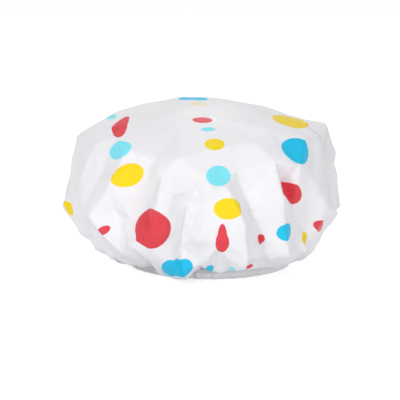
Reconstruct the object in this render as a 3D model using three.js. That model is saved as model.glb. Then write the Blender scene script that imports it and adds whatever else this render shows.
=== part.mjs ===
// A puffed shower cap standing on its gathered hem.
// Millimetres, +Z up. The origin is under the middle of the cap, on the plane that the hem rests on.
// The front of the cap faces -Y. An azimuth is measured from the front, positive towards +X.
import * as THREE from "three";
import { ConvexHull } from "three/addons/math/ConvexHull.js";

// Film crown, driving dimensions
const FILM_THICKNESS = 0.3;
const CROWN_HEIGHT = 156;
const SHOULDER_RADIUS = 119;
const SHOULDER_HEIGHT = 122;
const BELLY_RADIUS = 129;
const BELLY_HEIGHT = 53;
const BELLY_SWAY = -8; // how far the belly sits to one side of the hem's centre
const SHOULDER_SWAY = 3; // how far the shoulders sit back over the belly
const TOP_SWAY = -17; // how far the top sits to one side of the shoulders
const SHOULDER_TILT = 2; // degrees by which one shoulder stands higher than the other
const SHOULDER_LEAN = 1; // how far the shoulders sit behind the belly

// Crumple of the film into flat facets. Places down the film are percents of the way from top to hem.
const CRUMPLE_SEED = 11;
const CRUMPLE_BANDS = [
  // where a band of facets starts and ends, how far apart their corners are, how far these stand in and out
  { start: 2, end: 36, spacing: 11, depth: 1.2 },
  { start: 36, end: 59, spacing: 9.7, depth: 4 },
  { start: 59, end: 80, spacing: 8.2, depth: 8 },
  { start: 80, end: 95, spacing: 7.2, depth: 8 },
];
const TOP_DIP = -1; // how far the middle of the top stands out
const FOLD_LIMIT = 5; // the hair has its room this far inside the puffed film
const FOLDS_END = 90; // below this the folds are drawn flat towards the hem

// Folds at the front, on the shoulders and down the sides, as the corners of their facets: azimuth, percents
// down the film, distance out
const PLACED_FOLDS = {
  pleatTop: [[-20, 48, 1], [-11, 48, 4], [-16, 54, 7]],
  widePleat: [[-12, 59, 5], [-17, 63, 8], [-13, 68, 4], [-19, 71, 7]],
  leftOfPleat: [[-23, 50, -1], [-26, 63, -9], [-29, 69, -4]],
  rightOfPleat: [[-3, 58, 0], [-6, 62.5, -7], [-8, 69, -12], [-10, 78, -9]],
  belowPleat: [[-29, 76, 3], [-15, 74.5, 5], [-22, 81, 6]],
  middleBowl: [[2, 55.5, 3], [3, 61.5, 2], [7, 67.5, 1], [-2, 74, -5], [9, 74, 1], [1, 81, -3]],
  longGroove: [[10, 43, -4], [13, 52.5, -5], [19, 61.5, -10], [23, 69.5, -9]],
  grooveLip: [[9, 58, 4], [16, 69.5, 4], [16, 79.5, 3]],
  rightFolds: [[49, 45, 2], [29, 51, 3], [31, 61, 5], [40, 52.5, 4]],
  rightValleys: [[36, 58, -6], [42, 66, -5], [45, 70.5, -7]],
  rightSide: [[73, 38, -2], [60, 46, 1], [65, 54, -2], [68, 56.5, -8], [52, 60, 2], [58, 67.5, 5]],
  leftFacet: [[-41, 59, 2], [-66, 62.5, 0], [-56, 66, 4], [-48, 69, 4], [-54, 74, -8]],
  farLeft: [[-75, 55, 0], [-75, 65, 1]],
  leftValley: [[-35, 63, -2], [-37, 68, -8]],
  leftTop: [[-70, 34, 1], [-55, 36, 1], [-64, 40, 1], [-46, 40, 0], [-58, 44.5, 0]],
  lowFront: [[-35, 79.5, 4], [-29, 86, 0], [14, 83, 6], [27, 83.5, -4], [34, 79.5, 3]],
  lowMiddle: [[5, 82, -4], [-4, 85, -2]],
  lowLobe: [[-23, 85, 8], [-12, 85, 8], [-22, 90, 10], [-12, 90, 10]],
  lowLeft: [[-72, 79.5, -4], [-60, 83, 0], [-46, 86, 3], [-36, 89, 4], [-57, 90, 2]],
  lowRight: [[64, 76.5, -6], [72, 80, -9], [55, 84.5, 0], [62, 86, -2]],
  lowSide: [[86, 77, -10], [98, 79, -10], [80, 84.5, -11], [94, 85, -9]],
  lowBackSide: [[87, 90, -4], [108, 80, -9], [106, 86, -7], [118, 76, -3]],
  aboveHem: [[0, 90.5, 4], [9, 89.5, 4], [18, 90.5, 3], [29, 90.5, 2], [41, 89, 4], [52, 91, 3]],
  rightTop: [[80, 22, -2], [98, 24, -2], [62, 29, -2], [85, 33, -4], [102, 34, -3.5], [90, 39, -2]],
  rightShoulder: [[82, 44, 1], [95, 43.5, 1], [88, 61, 0], [100, 63, 0], [88, 71, 1], [104, 72, 0]],
  leftShoulder: [[-34, 46, 1], [-38, 52, 1], [-84, 45, 2], [-94, 44.5, 2], [-88, 60, 0], [-100, 62, 0]],
  leftSide: [[-80, 71.5, 2], [-93, 71, 2], [-106, 72, 0], [-86, 79, -5], [-98, 80, -5], [-90, 86.5, -3]],
  backShoulder: [[-150, 46, 1], [150, 46, 1], [118, 46, 2]],
};
const PLACED_CLEAR = 8; // other corners keep this far from these, in percents of the film's length

// Gathered hem
const HEM_RADIUS = 74;
const GATHERS = 60;
const GATHER_PUFF = 1.1; // how far each gather puffs out past the drawn-in lines beside it
const HEEL = 0.6; // corner taken off each side of the hem's fold
const SEAM_HEIGHT = 2.2; // depth of film edge held between the two legs of the casing
const SEAM_ROOM = 0.6; // between the film edge and each leg
const CLEARANCE = 0.3;

// Elastic
const STRAND_COUNT = 4;
const STRAND_DIAMETER = 0.6;
const BRAID_WALL = 0.3;
const LAP_LENGTH = 15; // the two ends of the elastic overlap by this much
const LAP_RAMP = 24; // length over which the upper end steps over the lower one
const ELASTIC_STEPS = 76;

// Threads
const THREAD_DIAMETER = 0.4;
const THREAD_STEPS = 96;
const THREAD_SIDES = 5;
const TACK_POINTS = 9;

// Heights in the hem, from the resting plane up
const elasticThickness = STRAND_DIAMETER + 2 * CLEARANCE + 2 * BRAID_WALL;
const slotHeight = STRAND_COUNT * STRAND_DIAMETER + (STRAND_COUNT + 1) * CLEARANCE;
const elasticHeight = slotHeight + 2 * BRAID_WALL;
const elasticBottom = FILM_THICKNESS + HEEL + CLEARANCE;
const channelTop = elasticBottom + elasticHeight + CLEARANCE;
const legRadialRoom = FILM_THICKNESS / 2 + SEAM_ROOM;
const hemNeck = channelTop + elasticThickness * 0.8;
const hemTop = hemNeck + SEAM_HEIGHT;
const filmEdge = hemNeck + CLEARANCE;
const neckHeight = hemTop + SEAM_ROOM + FILM_THICKNESS;

// Radii in the hem: the lower end of the elastic, its upper end over it, the tack over that
const lapPitch = elasticThickness + CLEARANCE;
const elasticRadius = HEM_RADIUS - lapPitch / 2;
const channelInner = elasticRadius - elasticThickness / 2 - CLEARANCE;
const tackRadius = elasticRadius + lapPitch + elasticThickness / 2 + CLEARANCE + THREAD_DIAMETER / 2;
const channelOuter = tackRadius + THREAD_DIAMETER / 2 + CLEARANCE;
const threadOffset = legRadialRoom + FILM_THICKNESS + CLEARANCE + THREAD_DIAMETER / 2;

const materials = {
  film: new THREE.MeshStandardMaterial({ color: 0xe8e8ec, roughness: 0.38, metalness: 0 }),
  braid: new THREE.MeshStandardMaterial({ color: 0xf2f1ec, roughness: 0.9, metalness: 0 }),
  rubber: new THREE.MeshStandardMaterial({ color: 0xd8cdb4, roughness: 0.6, metalness: 0 }),
  thread: new THREE.MeshStandardMaterial({ color: 0xf4f4f4, roughness: 0.7, metalness: 0 }),
};

function radians(degrees) {
  return THREE.MathUtils.degToRad(degrees);
}

function around(radius, azimuth, height) {
  const angle = radians(azimuth);
  return new THREE.Vector3(radius * Math.sin(angle), -radius * Math.cos(angle), height);
}

// A sheet of film turned round the cap: its section runs down the inner skin and back up the outer one.
// Both skins are split along the same diagonals, so that they stay the film's thickness apart in a fold.
function turnedSheet(section, innerRows, columns, place) {
  const geometry = new THREE.LatheGeometry(section, columns);
  const position = geometry.getAttribute("position");
  const index = [];
  for (let column = 0; column <= columns; column++) {
    for (let row = 0; row < section.length; row++) {
      const spot = place(column % columns, row);
      position.setXYZ(column * section.length + row, spot.x, spot.y, spot.z);
    }
  }
  for (let column = 0; column < columns; column++) {
    for (let row = 0; row < section.length - 1; row++) {
      const here = column * section.length + row;
      const beside = here + section.length;
      if (row < innerRows) {
        index.push(here, beside, beside + 1, here, beside + 1, here + 1);
      } else {
        index.push(here, beside, here + 1, beside + 1, here + 1, beside);
      }
    }
  }
  geometry.setIndex(index);
  return geometry;
}

// The film's meridian from the top of the crown down to the neck above the hem, as radius and height.
function meridian() {
  const path = new THREE.Path();
  path.moveTo(0, CROWN_HEIGHT);
  path.bezierCurveTo(
    SHOULDER_RADIUS * 0.47, CROWN_HEIGHT,
    SHOULDER_RADIUS * 0.94, SHOULDER_HEIGHT + (CROWN_HEIGHT - SHOULDER_HEIGHT) * 0.3,
    SHOULDER_RADIUS, SHOULDER_HEIGHT,
  );
  path.bezierCurveTo(
    SHOULDER_RADIUS * 1.03, SHOULDER_HEIGHT - (SHOULDER_HEIGHT - BELLY_HEIGHT) * 0.22,
    BELLY_RADIUS * 0.98, BELLY_HEIGHT + (SHOULDER_HEIGHT - BELLY_HEIGHT) * 0.35,
    BELLY_RADIUS, BELLY_HEIGHT,
  );
  path.bezierCurveTo(
    BELLY_RADIUS, neckHeight + (BELLY_HEIGHT - neckHeight) * 0.45,
    HEM_RADIUS + (BELLY_RADIUS - HEM_RADIUS) * 0.78, neckHeight + (BELLY_HEIGHT - neckHeight) * 0.12,
    HEM_RADIUS, neckHeight,
  );
  return path;
}

// How far the film stands to one side of the hem's centre at a height.
function sway(height) {
  const atBelly = THREE.MathUtils.smoothstep(height, neckHeight, BELLY_HEIGHT);
  const atShoulder = THREE.MathUtils.smoothstep(height, BELLY_HEIGHT, SHOULDER_HEIGHT);
  const atTop = THREE.MathUtils.smoothstep(height, SHOULDER_HEIGHT, CROWN_HEIGHT);
  return BELLY_SWAY * atBelly + SHOULDER_SWAY * atShoulder + TOP_SWAY * atTop;
}

// A place on the film laid flat, in percents of its length from the top to the hem.
function flatSpot({ azimuth, down }) {
  const spot = around(down, azimuth, 0);
  return new THREE.Vector2(spot.x, spot.y);
}

function placedCorners() {
  return Object.values(PLACED_FOLDS)
    .flat()
    .map(([azimuth, down, out]) => ({ azimuth, down, out }));
}

// Corners of the facets that cover the rest of the film, in rows that stand in and out by turns.
function scatteredCorners() {
  const random = (low, high) => THREE.MathUtils.lerp(low, high, THREE.MathUtils.seededRandom());
  THREE.MathUtils.seededRandom(CRUMPLE_SEED);
  const corners = [];
  for (const { start, end, spacing, depth } of CRUMPLE_BANDS) {
    const rows = Math.round((end - start) / spacing);
    for (let row = 0; row < rows; row++) {
      const middle = start + ((row + 0.5) * (end - start)) / rows;
      const count = 2 * Math.round((Math.PI * middle) / spacing);
      const phase = random(0, 360);
      for (let index = 0; index < count; index++) {
        const side = (index + row) % 2 === 0 ? 0.5 : -0.5;
        corners.push({
          azimuth: phase + (360 * (index + random(-0.3, 0.3))) / count,
          down: middle + random(-0.35, 0.35) * spacing,
          out: Math.max(-FOLD_LIMIT, depth * (side + random(-0.6, 0.6))),
        });
      }
    }
  }
  return corners;
}

// All corners of the film: its top, the facets' and, last, those round its rim above the hem.
function filmCorners() {
  const placed = placedCorners();
  const apart = (corner, other) => flatSpot(corner).distanceTo(flatSpot(other));
  const clear = (corner) => placed.every((other) => apart(corner, other) > PLACED_CLEAR);
  const rim = [];
  for (let index = 0; index < GATHERS; index++) {
    rim.push({ azimuth: (360 * index) / GATHERS, down: 100, out: 0 });
  }
  return [{ azimuth: 0, down: 0, out: TOP_DIP }, ...placed, ...scatteredCorners().filter(clear), ...rim];
}

// Joins the corners into facets, each with no other corner inside the circle round it. Laid flat and raised
// on to a bowl, the corners have these facets on the under side of their hull.
function filmFacets(corners) {
  const raised = corners.map((corner) => {
    const spot = flatSpot(corner);
    return new THREE.Vector3(spot.x, spot.y, spot.lengthSq() / 100);
  });
  const number = new Map(raised.map((spot, index) => [spot, index]));
  const under = new ConvexHull().setFromPoints(raised).faces.filter((face) => face.normal.z < 0);
  return under.map(({ edge }) => [edge, edge.prev, edge.next].map(({ vertex }) => number.get(vertex.point)));
}

// Where a corner of the film comes to on one of its skins, with the film puffed, swayed and tilted.
function puffedSpot(path, { azimuth, down, out }, side) {
  const onRim = down === 100;
  const point = path.getPoint(down / 100);
  const tangent = path.getTangent(down / 100);
  const normal = onRim ? new THREE.Vector2(1, 0) : new THREE.Vector2(-tangent.y, tangent.x);
  const drawnFlat = THREE.MathUtils.smoothstep(down, FOLDS_END, 100);
  const stand = out * (1 - drawnFlat) + (side * FILM_THICKNESS) / 2;
  const spot = around(point.x + normal.x * stand, azimuth, point.y + normal.y * stand);
  const lifted = THREE.MathUtils.smoothstep(spot.z, BELLY_HEIGHT, SHOULDER_HEIGHT);
  const swayed = spot.x + sway(spot.z);
  spot.z += spot.x * Math.tan(radians(SHOULDER_TILT)) * lifted;
  spot.x = swayed;
  spot.y += SHOULDER_LEAN * lifted;
  return spot;
}

// The crown is one sheet: an outer and an inner skin with the same facets, and an edge down into the hem.
function crownFilm() {
  const path = meridian();
  const corners = filmCorners();
  const rim = corners.slice(-GATHERS);
  const edge = (side) => {
    const radius = HEM_RADIUS + (side * FILM_THICKNESS) / 2;
    return rim.map(({ azimuth }) => around(radius, azimuth, filmEdge));
  };
  const spots = [
    ...corners.map((corner) => puffedSpot(path, corner, 1)),
    ...edge(1),
    ...corners.map((corner) => puffedSpot(path, corner, -1)),
    ...edge(-1),
  ];
  const skin = corners.length + GATHERS;
  const index = [];
  for (const [a, b, c] of filmFacets(corners)) {
    index.push(a, b, c, skin + a, skin + c, skin + b);
  }
  for (let step = 0; step < GATHERS; step++) {
    const high = corners.length - GATHERS + step;
    const highNext = corners.length - GATHERS + ((step + 1) % GATHERS);
    const low = high + GATHERS;
    const lowNext = highNext + GATHERS;
    index.push(low, lowNext, highNext, low, highNext, high);
    index.push(skin + low, skin + highNext, skin + lowNext, skin + low, skin + high, skin + highNext);
    index.push(low, skin + low, skin + lowNext, low, skin + lowNext, lowNext);
  }
  const geometry = new THREE.BufferGeometry().setFromPoints(spots);
  geometry.setIndex(index);
  geometry.computeVertexNormals();
  return geometry;
}

// The hem casing is a strip of film folded into a U: two legs that hold the crown's edge, and a channel
// below them for the elastic. It puffs out on both sides between the lines where the elastic draws it in.
function casingSection(puff) {
  const outerSide = channelOuter + puff;
  const innerSide = channelInner - puff;
  const outside = [
    [HEM_RADIUS + legRadialRoom + FILM_THICKNESS, hemTop],
    [HEM_RADIUS + legRadialRoom + FILM_THICKNESS, hemNeck],
    [outerSide + FILM_THICKNESS, channelTop],
    [outerSide + FILM_THICKNESS, HEEL + FILM_THICKNESS],
    [outerSide - HEEL, 0],
    [innerSide + HEEL, 0],
    [innerSide - FILM_THICKNESS, HEEL + FILM_THICKNESS],
    [innerSide - FILM_THICKNESS, channelTop],
    [HEM_RADIUS - legRadialRoom - FILM_THICKNESS, hemNeck],
    [HEM_RADIUS - legRadialRoom - FILM_THICKNESS, hemTop],
  ];
  const inside = [
    [HEM_RADIUS - legRadialRoom, hemTop],
    [HEM_RADIUS - legRadialRoom, hemNeck],
    [innerSide, channelTop],
    [innerSide, HEEL + FILM_THICKNESS],
    [innerSide + HEEL, FILM_THICKNESS],
    [outerSide - HEEL, FILM_THICKNESS],
    [outerSide, HEEL + FILM_THICKNESS],
    [outerSide, channelTop],
    [HEM_RADIUS + legRadialRoom, hemNeck],
    [HEM_RADIUS + legRadialRoom, hemTop],
  ];
  const loop = [...outside, ...inside].reverse();
  return [...loop, loop[0]].map(([radius, height]) => new THREE.Vector2(radius, height));
}

function hemCasing() {
  const columns = 2 * GATHERS;
  const drawnIn = casingSection(0);
  const puffed = casingSection(GATHER_PUFF);
  const innerRows = (drawnIn.length - 1) / 2;
  return turnedSheet(drawnIn, innerRows, columns, (column, row) => {
    const point = (column % 2 === 0 ? drawnIn : puffed)[row];
    return around(point.x, (360 * column) / columns, point.y);
  });
}

// The elastic is one strip bent into a ring. At the back of the hem its upper end laps over its lower end.
class ElasticLine extends THREE.Curve {
  getPoint(share, target = new THREE.Vector3()) {
    const lapAngle = THREE.MathUtils.radToDeg(LAP_LENGTH / elasticRadius);
    const rampAngle = THREE.MathUtils.radToDeg(LAP_RAMP / elasticRadius);
    const turned = share * (360 + lapAngle);
    const stepped = THREE.MathUtils.smoothstep(turned, 360 - rampAngle, 360 - CLEARANCE);
    const middle = elasticBottom + elasticHeight / 2;
    return target.copy(around(elasticRadius + lapPitch * stepped, 180 + turned, middle));
  }
}

function sweptAlongElastic(shape, curveSegments) {
  return new THREE.ExtrudeGeometry(shape, {
    steps: ELASTIC_STEPS,
    extrudePath: new ElasticLine(),
    bevelEnabled: false,
    curveSegments,
  });
}

function rectangle(target, high, wide) {
  target.moveTo(-high / 2, -wide / 2);
  target.lineTo(high / 2, -wide / 2);
  target.lineTo(high / 2, wide / 2);
  target.lineTo(-high / 2, wide / 2);
  target.closePath();
  return target;
}

function elasticBraid() {
  const section = rectangle(new THREE.Shape(), elasticHeight, elasticThickness);
  section.holes.push(rectangle(new THREE.Path(), slotHeight, STRAND_DIAMETER + 2 * CLEARANCE));
  return sweptAlongElastic(section, 1);
}

function rubberStrand(index) {
  const pitch = STRAND_DIAMETER + CLEARANCE;
  const offset = (index - (STRAND_COUNT - 1) / 2) * pitch;
  const section = new THREE.Shape();
  section.absarc(offset, 0, STRAND_DIAMETER / 2, 0, 2 * Math.PI);
  return sweptAlongElastic(section, 3);
}

// A zigzag of thread that tacks the lapped ends together.
function lapTack() {
  const points = [];
  const middle = elasticBottom + elasticHeight / 2;
  const reach = elasticHeight / 2 - THREAD_DIAMETER;
  const sweep = THREE.MathUtils.radToDeg(LAP_LENGTH / tackRadius) * 0.7;
  for (let index = 0; index < TACK_POINTS; index++) {
    const share = index / (TACK_POINTS - 1);
    const height = middle + (index % 2 === 0 ? reach : -reach);
    points.push(around(tackRadius, 180 + sweep * (share + 0.2), height));
  }
  const thread = new THREE.Shape();
  thread.absarc(0, 0, THREAD_DIAMETER / 2, 0, 2 * Math.PI);
  return new THREE.ExtrudeGeometry(thread, {
    steps: 2 * (TACK_POINTS - 1),
    extrudePath: new THREE.CatmullRomCurve3(points, false, "catmullrom", 0.2),
    bevelEnabled: false,
    curveSegments: 3,
  });
}

// One row of stitching runs round each face of the hem, half-way up the seam.
function seamThread(radius) {
  const ring = new THREE.TorusGeometry(radius, THREAD_DIAMETER / 2, THREAD_SIDES, THREAD_STEPS);
  return ring.translate(0, 0, hemNeck + SEAM_HEIGHT / 2);
}

function named(name, geometry, material) {
  const mesh = new THREE.Mesh(geometry, material);
  mesh.name = name;
  return mesh;
}

const cap = new THREE.Group();
cap.add(named("crown_film", crownFilm(), materials.film));
cap.add(named("hem_casing", hemCasing(), materials.film));
cap.add(named("elastic_braid", elasticBraid(), materials.braid));
for (let index = 0; index < STRAND_COUNT; index++) {
  cap.add(named(`rubber_strand_${index + 1}`, rubberStrand(index), materials.rubber));
}
cap.add(named("elastic_lap_tack", lapTack(), materials.thread));
cap.add(named("hem_needle_thread", seamThread(HEM_RADIUS + threadOffset), materials.thread));
cap.add(named("hem_bobbin_thread", seamThread(HEM_RADIUS - threadOffset), materials.thread));

// The frame's origin is under the middle of the cap's own box.
const box = new THREE.Box3().setFromObject(cap);
cap.children.forEach((mesh) => {
  mesh.position.set(-(box.min.x + box.max.x) / 2, -(box.min.y + box.max.y) / 2, 0);
});

export default cap;
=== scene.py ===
import math

import bmesh
import bpy
import numpy as np
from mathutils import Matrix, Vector


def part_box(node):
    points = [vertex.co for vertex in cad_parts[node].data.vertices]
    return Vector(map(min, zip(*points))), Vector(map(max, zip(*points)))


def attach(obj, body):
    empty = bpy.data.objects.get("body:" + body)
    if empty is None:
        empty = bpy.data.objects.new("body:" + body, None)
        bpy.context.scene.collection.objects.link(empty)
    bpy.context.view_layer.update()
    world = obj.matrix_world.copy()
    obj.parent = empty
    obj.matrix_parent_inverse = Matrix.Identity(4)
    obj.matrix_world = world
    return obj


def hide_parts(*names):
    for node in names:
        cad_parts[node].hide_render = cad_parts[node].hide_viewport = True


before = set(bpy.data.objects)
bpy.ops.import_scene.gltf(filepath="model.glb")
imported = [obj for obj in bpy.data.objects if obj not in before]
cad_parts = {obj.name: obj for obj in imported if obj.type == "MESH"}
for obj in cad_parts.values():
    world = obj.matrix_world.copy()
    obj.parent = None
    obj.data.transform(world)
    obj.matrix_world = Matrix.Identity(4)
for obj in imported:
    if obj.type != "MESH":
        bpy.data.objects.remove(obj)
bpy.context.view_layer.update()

MM = 0.001
FULL_TURN = 2 * math.pi

# Film
FLAT_RADIUS = 275 * MM  # from the middle of the cut circle to the hem
FILM_THICKNESS = 0.2 * MM
CORNER_MERGE = 0.02 * MM  # corners of the solid's facets that lie closer than this are one
EDGE_BAND = 0.05 * MM  # faces of the solid that lie this close to its lowest point close its edge
MIDDLE_SHARE = 0.42  # height of the film's middle, as a share of the height of its top
PROFILE_STOPS = 40  # even turns from the top of the film to its edge

# Folds of the film. A pair of values says where a change starts and where it is full.
FOLD_GAIN = 0.35  # how much deeper the folds at the front are than their solid's
PUFFED_RISE = 1.5 * MM  # how far a corner of evenly puffed film stands out from the corners round it
FOLD_FACING = (0.45, 0.8)  # share of the film's normal that points to the front
FOLD_ABOVE_HEM = (25 * MM, 60 * MM)
BUCKLE_SEED = 11
BUCKLES = [1.8 * MM, 0.6 * MM]  # depths where the edges of the facets are halved, and halved again
BUCKLE_ABOVE_HEM = (2 * MM, 14 * MM)
BUCKLE_BELOW_TOP = (20 * MM, 60 * MM)
TOP_BUCKLE = 0.4  # share of its depth that a buckle has near the top
CREASE_START = 0.1  # radians by which the film bends before a fold is sharp
CREASE_GAIN = 2.2  # sharpness of a fold for each radian beyond that

# Gathers of the film just above the hem, and in the hem
GATHERS = 60
GATHER_SEED = 13
GATHER_DEPTH = 3.4 * MM
GATHER_STRENGTHS = (0.5, 1.3)  # least and most share of that depth
GATHER_START = (1 * MM, 6 * MM)  # above the hem, where the pleats grow
GATHER_END = (9 * MM, 26 * MM)  # and where they fade
NECK_RISE = 0.9 * MM  # of the film's neck above the top of the hem

# Hem casing, a folded strip of film in one puff for each gather
CASING_SEED = 14
PUFF_STEPS = 10  # round the hem, in each puff
PUFF_DEPTH = 1.5 * MM
PUFF_STRENGTHS = (0.45, 1.25)  # least and most share of that depth
PUFF_WIDTHS = (0.7, 1.3)  # least and most share of an even width
PUFF_POWER = 0.6  # under 1, a puff is fuller than half a wave
PUFF_DRAW = 0.25  # share of the depth by which all of the strip is drawn in
PUFF_LIFT = 0.6 * MM  # rise of the strip's fold between two puffs
STRIP_INSET = 1.3 * MM  # from the outer side of the solid to the strip
STRIP_LEAN = 0.8 * MM  # how much nearer the seam the strip's inner side is
STRIP_LEG = 0.95 * MM  # from the seam to each edge of the strip
STRIP_FLOOR = 0.25 * MM  # height of the strip's fold in a full puff
EDGE_DROP = 0.15 * MM  # from the top of the hem to the strip's edges
NECK_DROP = 1.2 * MM  # from the seam to where the strip spreads
# Points down each side of the strip: shares of its reach from the seam, with drops below its neck in the
# first list and rises above its fold in the second
SHOULDER = [(0.72, 1 * MM), (1, 2.6 * MM)]
BELLY = [(1, 1.6 * MM), (0.8, 0.35 * MM), (0.4, 0)]

# Stitches
STITCHES = 150
STITCH_RADIUS = 0.2 * MM
STITCH_OFFSET = 1.35 * MM  # from the seam to each row
STITCH_COVER = 0.84  # share of its row that the thread covers
STITCH_SIDES = 6
# From the end of a stitch to its middle: place along it in its own lengths, then swell and lift in
# thread radii
STITCH_HALF = [(0.5, 0.35, -0.3), (0.42, 0.85, -0.12), (0.2, 1, 0.1)]
OUTSIDE = 1
INSIDE = -1

# Print
INKS = {
    "red": (0.77, 0.065, 0.085, 1),
    "yellow": (0.95, 0.71, 0.015, 1),
    # Yellow ink made pale by a painted sheen, for a yellow dot seen at a grazing angle on the top
    "yellow_with_painted_sheen": (0.90, 0.80, 0.55, 1),
    "blue": (0.02, 0.57, 0.88, 1),
    "light_blue": (0.24, 0.83, 0.96, 1),
}
INK_EDGE = 0.25  # half width of a dot's soft edge, in millimetres
FLAT_TOP = 70  # within this distance of the top the film lies flat, in millimetres
FLAT_MAP = 2.2  # side of the flat map, in radii of the film
# Dots: azimuth from the front in degrees, distance from the top of the cap, half width and half height in
# millimetres, how far the right end stands up in degrees, ink
FRONT_DOTS = [
    (-71, 8, 14, 14, 0, "blue"),
    # A yellow dot on the top, painted pale as a painted sheen from its grazing angle
    (-5, 32, 9, 6, 0, "yellow_with_painted_sheen"),
    (69, 90, 26, 16, 8, "yellow"),
    (-78, 87, 14, 5, 0, "light_blue"),
    (-52, 95, 22, 7.5, -48, "red"),
    (1, 75, 9, 6.5, 10, "red"),
    (4, 93, 6.5, 3.2, 5, "light_blue"),
    (6, 115, 9, 7.5, 0, "yellow"),
    (43, 129, 14.5, 12.5, 0, "blue"),
    (-39, 125, 16, 9, 3, "light_blue"),
    (-32, 147, 16, 9.5, 25, "yellow"),
    (7, 145, 11, 9, 8, "light_blue"),
    (38, 164, 16, 8.5, -31, "red"),
    (10, 173, 11.5, 9, 0, "yellow"),
    (-75, 190, 7, 6, -70, "yellow"),
    (-19, 190, 17, 16, 33, "red"),
    (57, 199, 14, 5.5, -18, "red"),
    (34, 196, 8, 7, 20, "blue"),
    (8, 198, 4, 12.5, 0, "red"),
    (8, 202, 5.5, 10, 0, "red"),
    (-41, 197, 4.5, 3.5, 20, "red"),
    (26, 205, 2.8, 5, 0, "red"),
    (46, 206, 5, 4, 44, "yellow"),
    (-13, 230, 7.5, 13.5, -17, "blue"),
    (-8, 232, 8, 10.5, -23, "blue"),
    (4, 238, 3.5, 8, 0, "blue"),
    (14, 234, 2, 3.5, 0, "light_blue"),
    (23, 237, 4, 4, 0, "red"),
    (-93, 160, 7, 7, 0, "red"),
]
BACK_TOP_DOTS = [
    (178, 45, 11, 11, 0, "red"),
    (138, 66, 9, 9, 0, "yellow"),
    (-142, 67, 10, 10, 0, "light_blue"),
]
# The same print goes on round the back in columns, in degrees and millimetres
BACK_COLUMNS = [104, 128, 154, 180, 206, 232, 256]
BACK_INKS = ["red", "yellow", "blue", "light_blue"]
BACK_ROWS = 5
BACK_START = 108
BACK_PITCH = 29
BACK_STAGGER = 10  # every other column starts this much lower
BACK_RADIUS = 8  # of the smallest dots
BACK_GROWTH = 3.5  # from one size of dot to the next
BACK_SIZES = 3
BACK_LEAN = 5  # how far a dot may stand to one side of its column
BACK_SWAY = 2.1  # radians of that lean's wave from row to row
SEAM_REACH = 200  # azimuths past the seam at 180 are used too, so that dots go on across it

# Finish. A noise is given by its scale and detail, and a bump by its strength and height.
NOISE_RANGE = (0.3, 0.7)  # where most values of a noise lie
FILM_WHITE = (0.865, 0.86, 0.89, 1)
HEM_WHITE_PAINTED_LIGHTER = (0.95, 0.945, 0.965, 1)  # the same film as the crown, painted lighter as painted light for the hem, which lies in the shade of the film above
FILM_CLOUDS = (22, 3)
FILM_GLOSS = (60, 2)
FILM_WRINKLES = (85, 4)
FILM_CELLS = 70  # scale of the small creased fields
FILM_BUMP = (0.22, 2 * MM)
FILM_ROUGHNESS = (0.40, 0.54)
FILM_IOR = 1.48
FILM_SPECULAR = 0.15
FILM_SHADE = 0.955  # tone of the film's darker clouds
INK_SHADE = 0.9
# Grained materials: light and dark tone, scale of the grain, range of roughness
GRAINS = {
    "sewing_thread": ((0.88, 0.88, 0.88, 1), (0.72, 0.72, 0.73, 1), 2500, (0.6, 0.85)),
    "elastic_braid_yarn": ((0.86, 0.85, 0.81, 1), (0.62, 0.61, 0.57, 1), 1600, (0.75, 0.95)),
    "elastic_rubber": ((0.70, 0.63, 0.50, 1), (0.58, 0.51, 0.40, 1), 900, (0.5, 0.7)),
}
GRAIN_DETAIL = 4
GRAIN_BUMP = (0.4, 0.2 * MM)

# Stage
WHITE = (1, 1, 1, 1)
FLOOR_SIZE = 12
FLOOR_DROP = 0.2 * MM  # below the plane that the hem rests on
FLOOR_COLOUR = (0.95, 0.95, 0.95, 1)
FLOOR_ROUGHNESS = 0.9
FLOOR_GLOW = 0.6  # light of its own where it is seen
SKY_STRENGTH = 0.55  # even light from all round
# Lamps: name, place, aim and width in metres, power in watts
LAMPS = [
    ("key", (-0.95, -1.4, 0.85), (0, 0, 0.07), 0.3, 9.0),
    ("fill", (0.6, -1.4, 0.06), (0, 0, 0.04), 0.9, 8.2),
    ("back", (0.1, 1.05, 1.4), (0, 0, 0.07), 0.6, 6.0),
]
CAMERA_ELEVATION = 10  # degrees
CAMERA_DISTANCE = 1.3  # metres
CAMERA_AIM = Vector((-0.001, 0, 0.059))
SENSOR_WIDTH = 36  # millimetres
PICTURE_WIDTH = 0.380  # metres across the picture at the aim point


def smooth(value, low, high):
    """Rises from 0 at the low value to 1 at the high one, with no kink at either."""
    share = np.clip((value - low) / (high - low), 0, 1)
    return share * share * (3 - 2 * share)


def new_object(name, points, faces):
    mesh = bpy.data.meshes.new(name)
    mesh.from_pydata(points, [], faces)
    mesh.update()
    made = bpy.data.objects.new(name, mesh)
    bpy.context.collection.objects.link(made)
    return made


def round_and_thicken(sheet):
    rounded = sheet.modifiers.new("rounded", "SUBSURF")
    rounded.levels = 1
    rounded.render_levels = 1
    thick = sheet.modifiers.new("thickness", "SOLIDIFY")
    thick.thickness = FILM_THICKNESS
    thick.offset = 0


# Places of the hem and the film, read from their solids
hem_low, hem_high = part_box("hem_casing")
hem_centre = (hem_low + hem_high) / 2
needle_low, needle_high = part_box("hem_needle_thread")
bobbin_low, bobbin_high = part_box("hem_bobbin_thread")
seam_height = (needle_low.z + needle_high.z) / 2
seam_radius = (needle_high.x - needle_low.x + bobbin_high.x - bobbin_low.x) / 4
neck_height = hem_high.z + NECK_RISE
film_low, film_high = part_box("crown_film")
film_middle = Vector((0, 0, MIDDLE_SHARE * film_high.z))


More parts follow.
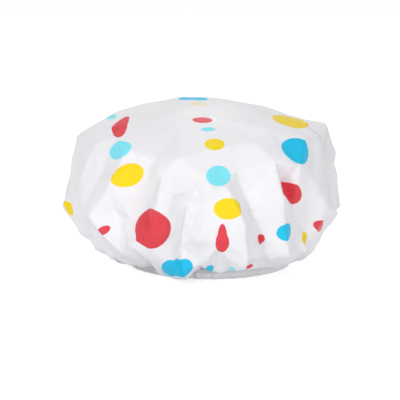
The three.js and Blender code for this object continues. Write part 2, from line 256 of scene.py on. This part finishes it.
# Film
def film_facets():
    """The outer skin of the film's solid, with its facets joined at their corners."""
    shape = bmesh.new()
    shape.from_mesh(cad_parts["crown_film"].data)
    bmesh.ops.remove_doubles(shape, verts=shape.verts, dist=CORNER_MERGE)
    shape.normal_update()
    unseen = []
    for face in shape.faces:
        centre = face.calc_center_median()
        faces_in = face.normal.dot(centre - film_middle) < 0
        closes_edge = centre.z < film_low.z + EDGE_BAND
        if faces_in or closes_edge:
            unseen.append(face)
    bmesh.ops.delete(shape, geom=unseen, context="FACES")
    return shape


def above_hem(spot):
    """How far a place on the film is from the neck where the hem draws it in."""
    out = math.hypot(spot.x - hem_centre.x, spot.y - hem_centre.y) - seam_radius
    return math.hypot(out, max(0, spot.z - neck_height))


def push(shape, distance):
    """Moves each corner of the film along its normal, by a distance found before any corner moves."""
    shape.normal_update()
    moves = [vert.normal * float(distance(vert)) for vert in shape.verts]
    for vert, move in zip(shape.verts, moves):
        vert.co += move


def deepen(shape):
    """Drives the ridges at the front of the film a little further out, and the valleys further in."""

    def drive(vert):
        around = [edge.other_vert(vert).co for edge in vert.link_edges]
        rise = vert.normal.dot(vert.co - sum(around, Vector()) / len(around)) - PUFFED_RISE
        front = smooth(-vert.normal.y, *FOLD_FACING) * smooth(above_hem(vert.co), *FOLD_ABOVE_HEM)
        return FOLD_GAIN * rise * front

    push(shape, drive)


def buckle(shape):
    """Halves the edges of the facets, and lets the film buckle a little at each new point."""
    rng = np.random.default_rng(BUCKLE_SEED)
    for depth in BUCKLES:
        known = set(shape.verts)
        bmesh.ops.subdivide_edges(shape, edges=shape.edges[:], cuts=1, use_grid_fill=True)
        shape.normal_update()
        for vert in shape.verts:
            if vert in known:
                continue
            slack = smooth(above_hem(vert.co), *BUCKLE_ABOVE_HEM)
            below_top = smooth(film_high.z - vert.co.z, *BUCKLE_BELOW_TOP)
            crushed = TOP_BUCKLE + (1 - TOP_BUCKLE) * below_top
            vert.co += vert.normal * float(rng.uniform(-depth, depth) * slack * crushed)


def crease(shape):
    """Keeps the folds sharp where the film bends most."""
    layer = shape.edges.layers.float.new("crease_edge")
    for edge in shape.edges:
        if len(edge.link_faces) == 2:
            bend = edge.calc_face_angle(0)
            edge[layer] = min(1, max(0, (bend - CREASE_START) * CREASE_GAIN))


def gather(shape):
    """Draws in the small pleats of the elastic just above the hem."""
    rng = np.random.default_rng(GATHER_SEED)
    strength = rng.uniform(*GATHER_STRENGTHS, GATHERS)

    def pleat(vert):
        azimuth = math.atan2(vert.co.x - hem_centre.x, hem_centre.y - vert.co.y)
        turn = azimuth / FULL_TURN % 1 * GATHERS
        wave = math.cos(FULL_TURN * turn)
        far = above_hem(vert.co)
        window = smooth(far, *GATHER_START) * (1 - smooth(far, *GATHER_END))
        return GATHER_DEPTH * wave * strength[int(turn) % GATHERS] * window

    push(shape, pleat)


def make_film():
    shape = film_facets()
    deepen(shape)
    buckle(shape)
    crease(shape)
    gather(shape)
    for face in shape.faces:
        face.smooth = True
    film = new_object("crown_film_sheet", [], [])
    shape.to_mesh(film.data)
    shape.free()
    round_and_thicken(film)
    return film


def film_profile(down, reach):
    """The film's mean section at even turns from its top: turns, distances down the film and radii."""
    stops = np.linspace(0, down.max(), PROFILE_STOPS)
    mean_reach = np.histogram(down, stops, weights=reach)[0] / np.histogram(down, stops)[0]
    turns = (stops[1:] + stops[:-1]) / 2
    radii = np.concatenate([[0], mean_reach * np.sin(turns)])
    heights = np.concatenate([[mean_reach[0]], mean_reach * np.cos(turns)])
    lengths = np.cumsum(np.hypot(np.diff(radii), np.diff(heights)))
    return np.concatenate([[0], turns]), np.concatenate([[0], lengths]), radii


def map_print(film):
    """Maps the film for its print twice: laid flat, for the top, and unrolled round the cap, for the rest.
    Gives back the distances down the film and the radii there."""
    way = np.array([vert.co for vert in film.data.vertices]) - np.array(film_middle)
    azimuth = np.arctan2(way[:, 0], -way[:, 1])
    across = np.hypot(way[:, 0], way[:, 1])
    down = np.arctan2(across, way[:, 2])
    turns_down, lengths, radii = film_profile(down, np.hypot(across, way[:, 2]))
    along = np.interp(down, turns_down, lengths)
    flat = film.data.uv_layers.new(name="flat_pattern")
    turned = film.data.uv_layers.new(name="round_the_cap")
    for face in film.data.polygons:
        turns = azimuth[list(face.vertices)] / FULL_TURN
        crosses_seam = turns.max() - turns.min() > 0.5
        if crosses_seam:
            turns = np.where(turns < 0, turns + 1, turns)
        for loop, turn, vertex in zip(face.loop_indices, turns, face.vertices):
            share = along[vertex] / FLAT_RADIUS
            x = share * math.sin(FULL_TURN * turn)
            y = -share * math.cos(FULL_TURN * turn)
            flat.data[loop].uv = (x / FLAT_MAP + 0.5, y / FLAT_MAP + 0.5)
            turned.data[loop].uv = (turn, share)
    return lengths, radii


# Hem
def round_hem(azimuth, radius, height):
    return (
        hem_centre.x + radius * math.sin(azimuth),
        hem_centre.y - radius * math.cos(azimuth),
        height,
    )


def strip_side(leg, reach, fold_height):
    """One side of the folded strip, from its edge down to its fold: offsets from the seam and heights."""
    neck = seam_height - NECK_DROP
    side = [(leg, hem_high.z - EDGE_DROP), (leg, seam_height), (leg, neck)]
    side.extend((share * reach, neck - drop) for share, drop in SHOULDER)
    side.extend((share * reach, fold_height + rise) for share, rise in BELLY)
    return side


def strip_section(puff, lift):
    """The folded strip at one place round the hem, from its inner edge to its outer one."""
    outer = hem_high.x - hem_centre.x - seam_radius - STRIP_INSET + puff
    inner = STRIP_LEAN - outer
    fold_height = STRIP_FLOOR + lift
    outer_side = strip_side(STRIP_LEG, outer, fold_height)
    return strip_side(-STRIP_LEG, inner, fold_height) + outer_side[::-1]


def make_casing():
    rng = np.random.default_rng(CASING_SEED)
    strength = rng.uniform(*PUFF_STRENGTHS, GATHERS)
    width = rng.uniform(*PUFF_WIDTHS, GATHERS)
    edges = np.concatenate([[0], np.cumsum(width)]) / width.sum()
    points = []
    for puff in range(GATHERS):
        for step in range(PUFF_STEPS):
            share = step / PUFF_STEPS
            azimuth = FULL_TURN * (edges[puff] + share * (edges[puff + 1] - edges[puff]))
            bulge = math.sin(math.pi * share) ** PUFF_POWER * strength[puff]
            section = strip_section(PUFF_DEPTH * (bulge - PUFF_DRAW), PUFF_LIFT * (1 - min(1, bulge)))
            points.extend(round_hem(azimuth, seam_radius + out, height) for out, height in section)
    columns = GATHERS * PUFF_STEPS
    rows = len(strip_section(0, 0))
    faces = []
    for column in range(columns):
        here = column * rows
        after = (column + 1) % columns * rows
        for row in range(rows - 1):
            faces.append((here + row, here + row + 1, after + row + 1, after + row))
    casing = new_object("hem_casing_strip", points, faces)
    for face in casing.data.polygons:
        face.use_smooth = True
    round_and_thicken(casing)
    return casing


def make_stitches(name, side):
    """A row of separate stitches on one side of the seam, each a short rounded length of thread."""
    radius = seam_radius + side * STITCH_OFFSET
    length = FULL_TURN * radius / STITCHES * STITCH_COVER
    sections = [(-along, swell, lift) for along, swell, lift in STITCH_HALF] + STITCH_HALF[::-1]
    points = []
    faces = []
    for stitch in range(STITCHES):
        first = len(points)
        last = first + (len(sections) - 1) * STITCH_SIDES
        middle = FULL_TURN * stitch / STITCHES
        for along, swell, lift in sections:
            azimuth = middle + along * length / radius
            for corner in range(STITCH_SIDES):
                turn = FULL_TURN * corner / STITCH_SIDES
                out = radius + STITCH_RADIUS * (swell * math.cos(turn) + side * lift)
                height = seam_height + STITCH_RADIUS * swell * math.sin(turn)
                points.append(round_hem(azimuth, out, height))
        for here in range(first, last, STITCH_SIDES):
            there = here + STITCH_SIDES
            for corner in range(STITCH_SIDES):
                after = (corner + 1) % STITCH_SIDES
                faces.append((here + corner, here + after, there + after, there + corner))
        faces.append(tuple(first + corner for corner in reversed(range(STITCH_SIDES))))
        faces.append(tuple(last + corner for corner in range(STITCH_SIDES)))
    row = new_object(name, points, faces)
    shape = bmesh.new()
    shape.from_mesh(row.data)
    bmesh.ops.recalc_face_normals(shape, faces=shape.faces)
    for face in shape.faces:
        face.smooth = True
    shape.to_mesh(row.data)
    shape.free()
    return row


film = make_film()
film_lengths, film_radii = map_print(film)
casing = make_casing()
needle = make_stitches("hem_needle_stitches", OUTSIDE)
bobbin = make_stitches("hem_bobbin_stitches", INSIDE)


# Nodes of the materials
def new_material(name):
    material = bpy.data.materials.new(name)
    material.use_nodes = True
    nodes = material.node_tree.nodes
    return material, nodes, material.node_tree.links, nodes["Principled BSDF"]


def math_node(nodes, links, operation, first, second):
    node = nodes.new("ShaderNodeMath")
    node.operation = operation
    for socket, value in zip(node.inputs, (first, second)):
        if isinstance(value, (int, float)):
            socket.default_value = value
        else:
            links.new(value, socket)
    return node.outputs[0]


def noise_node(nodes, links, vector, scale, detail):
    node = nodes.new("ShaderNodeTexNoise")
    node.inputs["Scale"].default_value = scale
    node.inputs["Detail"].default_value = detail
    links.new(vector, node.inputs["Vector"])
    return node.outputs[0]


def ramp_node(nodes, links, value, low, high, source=NOISE_RANGE):
    """Spreads a value from its source range to the range from low to high."""
    node = nodes.new("ShaderNodeMapRange")
    links.new(value, node.inputs[0])
    for socket, limit in zip(node.inputs[1:5], (*source, low, high)):
        socket.default_value = limit
    return node.outputs[0]


def shaded(colour, shade):
    return tuple(shade * channel for channel in colour[:3]) + (1,)


def tint_node(nodes, links, value, dark, light):
    """A colour that goes from dark to light as a noise rises."""
    node = nodes.new("ShaderNodeValToRGB")
    for stop, position, colour in zip(node.color_ramp.elements, NOISE_RANGE, (dark, light)):
        stop.position = position
        stop.color = colour
    links.new(value, node.inputs[0])
    return node.outputs[0]


def mix_node(nodes, links, share, first, second):
    node = nodes.new("ShaderNodeMix")
    node.data_type = "RGBA"
    factor = node.inputs[0]
    first_colour, second_colour = node.inputs[6:8]
    links.new(share, factor)
    links.new(first, first_colour)
    links.new(second, second_colour)
    return node.outputs[2]


def bump_surface(nodes, links, shader, height, strength, distance):
    bump = nodes.new("ShaderNodeBump")
    bump.inputs["Strength"].default_value = strength
    bump.inputs["Distance"].default_value = distance
    links.new(height, bump.inputs["Height"])
    links.new(bump.outputs[0], shader.inputs["Normal"])


# Material of the film
def back_dots():
    """Columns of dots round the back, whose sizes and inks come by turns."""
    dots = []
    for number, column in enumerate(BACK_COLUMNS):
        for row in range(BACK_ROWS):
            along = BACK_START + BACK_PITCH * row + BACK_STAGGER * (number % 2)
            radius = BACK_RADIUS + BACK_GROWTH * ((2 * row + number) % BACK_SIZES)
            ink = BACK_INKS[(row + 3 * number) % len(BACK_INKS)]
            centre = column + BACK_LEAN * math.cos(BACK_SWAY * row + number)
            for azimuth in (centre, centre - 360):
                if abs(azimuth) < SEAM_REACH:
                    dots.append((azimuth, along, radius, radius, 0, ink))
    return dots


def dot_distance(nodes, links, flat, turned, dot):
    """How far a place on the film is outside a printed dot, in millimetres.
    The film lies flat on the top. Lower down it is gathered, and a dot is laid out on what shows of it."""
    azimuth, along, half_width, half_height, lift, _ = dot
    angle = math.radians(azimuth)
    if along < FLAT_TOP:
        source = flat
        side = FLAT_MAP * FLAT_RADIUS / MM
        scale = (side, side, 0)
        centre = (side / 2 + along * math.sin(angle), side / 2 - along * math.cos(angle), 0)
    else:
        source = turned
        girth = float(np.interp(along * MM, film_lengths, film_radii)) / MM
        scale = (FULL_TURN * girth, FLAT_RADIUS / MM, 0)
        centre = (angle * girth, along, 0)
    spread = nodes.new("ShaderNodeVectorMath")
    spread.operation = "MULTIPLY"
    links.new(source, spread.inputs[0])
    spread.inputs[1].default_value = scale
    place = nodes.new("ShaderNodeMapping")
    place.vector_type = "TEXTURE"
    links.new(spread.outputs[0], place.inputs["Vector"])
    place.inputs["Location"].default_value = centre
    place.inputs["Rotation"].default_value = (0, 0, -math.radians(lift))
    place.inputs["Scale"].default_value = (half_width, half_height, 1)
    far = nodes.new("ShaderNodeVectorMath")
    far.operation = "LENGTH"
    links.new(place.outputs[0], far.inputs[0])
    outside = math_node(nodes, links, "SUBTRACT", far.outputs["Value"], 1)
    return math_node(nodes, links, "MULTIPLY", outside, (half_width + half_height) / 2)


def print_dots(nodes, links, colour, cloudy):
    """Lays the inks of the printed dots over the film's own colour."""
    flat = nodes.new("ShaderNodeUVMap")
    flat.uv_map = "flat_pattern"
    turned = nodes.new("ShaderNodeUVMap")
    turned.uv_map = "round_the_cap"
    maps = (flat.outputs[0], turned.outputs[0])
    dots = FRONT_DOTS + BACK_TOP_DOTS + back_dots()
    for ink, tone in INKS.items():
        distances = [dot_distance(nodes, links, *maps, dot) for dot in dots if dot[-1] == ink]
        nearest = distances[0]
        for other in distances[1:]:
            nearest = math_node(nodes, links, "MINIMUM", nearest, other)
        covered = ramp_node(nodes, links, nearest, 1, 0, (-INK_EDGE, INK_EDGE))
        inked = tint_node(nodes, links, cloudy, shaded(tone, INK_SHADE), tone)
        colour = mix_node(nodes, links, covered, colour, inked)
    return colour


def film_material(name, white, printed):
    material, nodes, links, shader = new_material(name)
    spot = nodes.new("ShaderNodeTexCoord").outputs["Object"]
    cloudy = noise_node(nodes, links, spot, *FILM_CLOUDS)
    colour = tint_node(nodes, links, cloudy, shaded(white, FILM_SHADE), white)
    if printed:
        colour = print_dots(nodes, links, colour, cloudy)
    links.new(colour, shader.inputs["Base Color"])
    gloss = noise_node(nodes, links, spot, *FILM_GLOSS)
    links.new(ramp_node(nodes, links, gloss, *FILM_ROUGHNESS), shader.inputs["Roughness"])
    shader.inputs["IOR"].default_value = FILM_IOR
    shader.inputs["Specular IOR Level"].default_value = FILM_SPECULAR
    wrinkle = noise_node(nodes, links, spot, *FILM_WRINKLES)
    cells = nodes.new("ShaderNodeTexVoronoi")
    cells.inputs["Scale"].default_value = FILM_CELLS
    links.new(spot, cells.inputs["Vector"])
    creased = math_node(nodes, links, "ADD", wrinkle, cells.outputs["Distance"])
    bump_surface(nodes, links, shader, creased, *FILM_BUMP)
    return material


# Materials of the elastic and the thread
def grained_material(name):
    light, dark, scale, roughness = GRAINS[name]
    material, nodes, links, shader = new_material(name)
    spot = nodes.new("ShaderNodeTexCoord").outputs["Object"]
    grain = noise_node(nodes, links, spot, scale, GRAIN_DETAIL)
    links.new(tint_node(nodes, links, grain, dark, light), shader.inputs["Base Color"])
    links.new(ramp_node(nodes, links, grain, *roughness), shader.inputs["Roughness"])
    bump_surface(nodes, links, shader, grain, *GRAIN_BUMP)
    return material


def dress(node, material):
    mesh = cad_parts[node].data
    mesh.materials.clear()
    mesh.materials.append(material)


thread = grained_material("sewing_thread")
rubber = grained_material("elastic_rubber")
film.data.materials.append(film_material("printed_film", FILM_WHITE, True))
# The hem's film is painted lighter than the crown's: painted light for the shade it lies in
casing.data.materials.append(film_material("hem_film_with_painted_light", HEM_WHITE_PAINTED_LIGHTER, False))
for piece in (needle, bobbin):
    piece.data.materials.append(thread)
dress("elastic_braid", grained_material("elastic_braid_yarn"))
dress("elastic_lap_tack", thread)
for name in sorted(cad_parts):
    if name.startswith("rubber_strand"):
        dress(name, rubber)

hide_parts("crown_film")
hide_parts("hem_casing")
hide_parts("hem_needle_thread")
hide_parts("hem_bobbin_thread")
for piece in (film, casing, needle, bobbin):
    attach(piece, "root")


# Stage
def seen_rays(nodes, links):
    """1 on rays that show the surroundings, straight or in gloss or glass, and 0 on rays of light."""
    path = nodes.new("ShaderNodeLightPath")
    seen = path.outputs["Is Camera Ray"]
    for ray in ("Is Transmission Ray", "Is Glossy Ray"):
        seen = math_node(nodes, links, "MAXIMUM", seen, path.outputs[ray])
    return seen


def make_floor():
    bpy.ops.mesh.primitive_plane_add(size=FLOOR_SIZE, location=(0, 0, -FLOOR_DROP))
    made = bpy.context.object
    made.name = "floor"
    material, nodes, links, shader = new_material("floor_white")
    shader.inputs["Base Color"].default_value = FLOOR_COLOUR
    shader.inputs["Roughness"].default_value = FLOOR_ROUGHNESS
    shader.inputs["Emission Color"].default_value = WHITE
    glow = math_node(nodes, links, "MULTIPLY", seen_rays(nodes, links), FLOOR_GLOW)
    links.new(glow, shader.inputs["Emission Strength"])
    made.data.materials.append(material)
    return made


def make_sky():
    """Even light from all round, which shows as white."""
    world = bpy.data.worlds.new("studio")
    world.use_nodes = True
    nodes = world.node_tree.nodes
    links = world.node_tree.links
    background = nodes["Background"]
    background.inputs["Color"].default_value = WHITE
    more = math_node(nodes, links, "MULTIPLY", seen_rays(nodes, links), 1 - SKY_STRENGTH)
    links.new(math_node(nodes, links, "ADD", more, SKY_STRENGTH), background.inputs["Strength"])
    return world


def make_lamp(name, place, aim, width, power):
    data = bpy.data.lights.new(name, "AREA")
    data.shape = "DISK"
    data.size = width
    data.energy = power
    lamp = bpy.data.objects.new(name, data)
    bpy.context.collection.objects.link(lamp)
    lamp.location = place
    lamp.rotation_euler = (Vector(aim) - Vector(place)).to_track_quat("-Z", "Y").to_euler()


def make_camera():
    elevation = math.radians(CAMERA_ELEVATION)
    back = Vector((0, -math.cos(elevation), math.sin(elevation)))
    data = bpy.data.cameras.new("camera")
    data.sensor_width = SENSOR_WIDTH
    data.lens = SENSOR_WIDTH * CAMERA_DISTANCE / PICTURE_WIDTH
    camera = bpy.data.objects.new("camera", data)
    bpy.context.collection.objects.link(camera)
    camera.location = CAMERA_AIM + back * CAMERA_DISTANCE
    camera.rotation_euler = (-back).to_track_quat("-Z", "Y").to_euler()
    return camera


floor = make_floor()
for lamp in LAMPS:
    make_lamp(*lamp)
scene = bpy.context.scene
scene.world = make_sky()
scene.camera = make_camera()
scene.view_settings.view_transform = "Standard"
